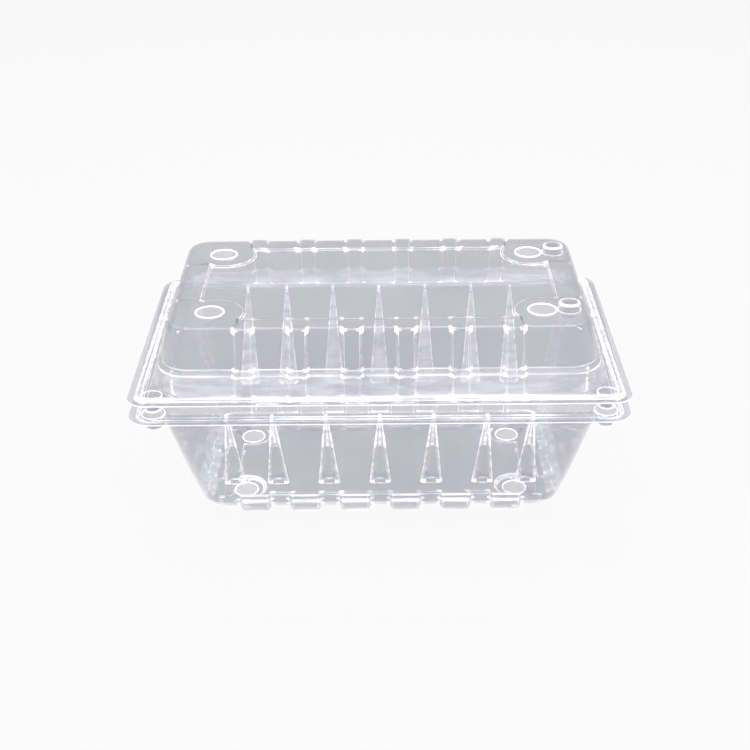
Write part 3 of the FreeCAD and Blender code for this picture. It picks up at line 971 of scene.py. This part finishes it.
def cup(name, centre, radius, tip_radius, mouth_z, tip_z, place, body):
    """A round cup whose open mouth is at mouth_z and whose closed end is at tip_z."""
    deselect_all()
    low_radius, high_radius = (radius, tip_radius) if tip_z > mouth_z else (tip_radius, radius)
    bpy.ops.mesh.primitive_cone_add(vertices=round_sides, radius1=low_radius, radius2=high_radius,
                                    depth=abs(tip_z - mouth_z), end_fill_type="NGON",
                                    location=(*centre, (mouth_z + tip_z) / 2))
    made = bpy.context.object
    made.name = name
    bpy.ops.object.transform_apply(location=True, rotation=True, scale=True)
    bpy.ops.object.mode_set(mode="EDIT")
    bpy.ops.mesh.select_mode(type="FACE")
    bpy.ops.mesh.select_all(action="DESELECT")
    bpy.ops.object.mode_set(mode="OBJECT")
    for face in made.data.polygons:
        face.select = len(face.vertices) > 4 and abs(face.center.z - mouth_z) < 0.01
    bpy.ops.object.mode_set(mode="EDIT")
    bpy.ops.mesh.delete(type="FACE")
    bpy.ops.mesh.select_mode(type="EDGE")
    bpy.ops.object.mode_set(mode="OBJECT")
    for edge in made.data.edges:
        edge.select = all(abs(made.data.vertices[i].co.z - tip_z) < 0.01 for i in edge.vertices)
    bpy.ops.object.mode_set(mode="EDIT")
    bpy.ops.mesh.bevel(offset=cup_bevel, segments=4, affect="EDGES")
    bpy.ops.object.mode_set(mode="OBJECT")
    made.data.transform(place)
    thicken(made)
    measure_bends(made)
    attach(made, body)


lug_height, lug_taper = 3.2, 0.5
button_tip, socket_tip, button_taper = -6.0, -6.3, 0.9
for letter, lug, place_of_button in zip("ab", lugs, buttons):
    cup("lid_lug_" + letter, lug, lug_radius, lug_radius - lug_taper,
        lid_height - wall, lid_height + lug_height, lid_place, "cover")
    cup("snap_button_" + letter, place_of_button, button_radius, button_radius - button_taper,
        wall + 0.2, button_tip, lid_place, "cover")
    cup("button_socket_" + letter, place_of_button, socket_radius, socket_radius - button_taper,
        0.0, socket_tip, tray_place, "tray")

# %% [markdown]
# The living hinge is the strip of sheet between the two flanges. It bends as the lid turns, so it can't
# ride on one body, and here it is attached to neither. Its section runs back from the tray's flange, round
# in half a circle, and forward to the lid's flange.

# %% Living hinge
hinge_half = 88.0
hinge_steps = 60
inner = flange_gap / 2
middle_radius = inner + wall / 2
line = [(flange[1] - 0.02, -middle_radius)]
line += [(flange[1] + hinge_reach * share, -middle_radius) for share in (0.3, 0.6, 0.85)]
line += [(flange[1] + hinge_reach + middle_radius * math.cos(angle), middle_radius * math.sin(angle))
         for angle in np.linspace(-math.pi / 2, math.pi / 2, 17)]
line += [(flange[1] + hinge_reach * share, middle_radius) for share in (0.85, 0.6, 0.3, 0.02)]
deselect_all()
bpy.ops.mesh.primitive_grid_add(x_subdivisions=hinge_steps, y_subdivisions=len(line) - 1, size=1.0)
strip = bpy.context.object
strip.name = "living_hinge_strip"
rows = [(-hinge_half + 2 * hinge_half * step / hinge_steps, y, z + inner)
        for y, z in line for step in range(hinge_steps + 1)]
strip.data.vertices.foreach_set("co", moved(rows, tray_place).ravel())
strip.data.update()
thicken(strip, offset=0.0)
measure_bends(strip)
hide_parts("living_hinge")
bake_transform(strip)

# %% [markdown]
# A plain pale floor, wide enough to fill the picture. To the camera it is almost the white of the
# photograph, and a share of it is a plain matt floor, which keeps the pack's soft shadow.

# %% Floor
floor_size = 80.0
floor_glow = 0.957
glow_part = 0.85
deselect_all()
bpy.ops.mesh.primitive_plane_add(size=floor_size, location=(0.0, 0.0, 0.0))
floor = bpy.context.object
floor.name = "studio_floor"
floor_finish = bpy.data.materials.new("pale_floor")
floor_finish.use_nodes = True
tree = floor_finish.node_tree
tree.nodes.clear()
matt = node(tree, "ShaderNodeBsdfDiffuse")
matt.inputs["Color"].default_value = (0.8, 0.8, 0.81, 1.0)
glow = node(tree, "ShaderNodeEmission")
glow.inputs["Color"].default_value = (floor_glow, floor_glow, floor_glow, 1.0)
paths = node(tree, "ShaderNodeLightPath")
direct = node(tree, "ShaderNodeMath", operation="MAXIMUM")
seen = node(tree, "ShaderNodeMath", operation="MAXIMUM")
share = node(tree, "ShaderNodeMath", operation="MULTIPLY")
share.inputs[1].default_value = glow_part
mix = node(tree, "ShaderNodeMixShader")
out = node(tree, "ShaderNodeOutputMaterial")
tree.links.new(paths.outputs["Is Camera Ray"], direct.inputs[0])
tree.links.new(paths.outputs["Is Glossy Ray"], direct.inputs[1])
tree.links.new(direct.outputs["Value"], seen.inputs[0])
tree.links.new(paths.outputs["Is Transmission Ray"], seen.inputs[1])
tree.links.new(seen.outputs["Value"], share.inputs[0])
tree.links.new(share.outputs["Value"], mix.inputs["Fac"])
tree.links.new(matt.outputs["BSDF"], mix.inputs[1])
tree.links.new(glow.outputs["Emission"], mix.inputs[2])
tree.links.new(mix.outputs["Shader"], out.inputs["Surface"])
floor.data.materials.append(floor_finish)

# %% [markdown]
# Soft studio light: a pale world and a wide lamp above. Two narrow upright strips at the sides and one
# behind draw the bright lines along the bends.

# %% Light
world = bpy.data.worlds.new("studio_world")
bpy.context.scene.world = world
world.use_nodes = True
sky = world.node_tree.nodes["Background"]
sky.inputs["Color"].default_value = (1.0, 1.0, 1.0, 1.0)
sky.inputs["Strength"].default_value = 0.7
aim = Vector((0.0, 0.0, 0.05))
strip_size = (0.05, 0.9)
strip_watts = 2.6


def lamp(name, place, size, watts):
    """A soft oblong lamp at a place, turned towards the pack."""
    deselect_all()
    bpy.ops.object.light_add(type="AREA", location=place)
    made = bpy.context.object
    made.name = name
    made.data.shape = "RECTANGLE"
    made.data.size, made.data.size_y = size
    made.data.energy = watts
    made.rotation_euler = (aim - Vector(place)).to_track_quat("-Z", "Y").to_euler()


lamp("top_softbox", (0.0, 0.1, 1.1), (0.9, 0.6), 3.0)
lamp("left_strip", (-0.75, -0.4, 0.6), strip_size, strip_watts)
lamp("right_strip", (0.75, -0.4, 0.6), strip_size, strip_watts)
lamp("rear_strip", (0.0, 0.6, 1.0), (1.2, 0.06), 2.4)

# %% [markdown]
# The camera stands where the photograph was taken from, found by matching the flanges, ribs, vents and
# feet.

# %% Camera
camera_place = Vector((0.47, -533.45, 359.4)) * mm
look_down = math.radians(30.44)
look_aside = math.radians(-0.26)
roll = math.radians(-0.6)
picture = 750
focal_pixels = 1412.83
forward = Vector((math.sin(look_aside) * math.cos(look_down), math.cos(look_aside) * math.cos(look_down),
                  -math.sin(look_down)))
level_right = Vector((math.cos(look_aside), -math.sin(look_aside), 0.0))
level_up = level_right.cross(forward)
right = level_right * math.cos(roll) + level_up * math.sin(roll)
up = -level_right * math.sin(roll) + level_up * math.cos(roll)
deselect_all()
bpy.ops.object.camera_add(location=camera_place)
camera = bpy.context.object
camera.name = "photo_camera"
turned = Matrix((right, up, -forward)).transposed().to_4x4()
camera.matrix_world = Matrix.Translation(camera_place) @ turned
camera.data.sensor_width = 36.0
camera.data.lens = focal_pixels / picture * camera.data.sensor_width
camera.data.clip_start = 0.01
bpy.context.scene.camera = camera

# %% [markdown]
# Last, plain colours and enough see-through steps for light to pass every layer of the sheet.

# %% Finish
scene = bpy.context.scene
scene.view_settings.view_transform = "Standard"
scene.cycles.transparent_max_bounces = 48
scene.cycles.max_bounces = 16
deselect_all()
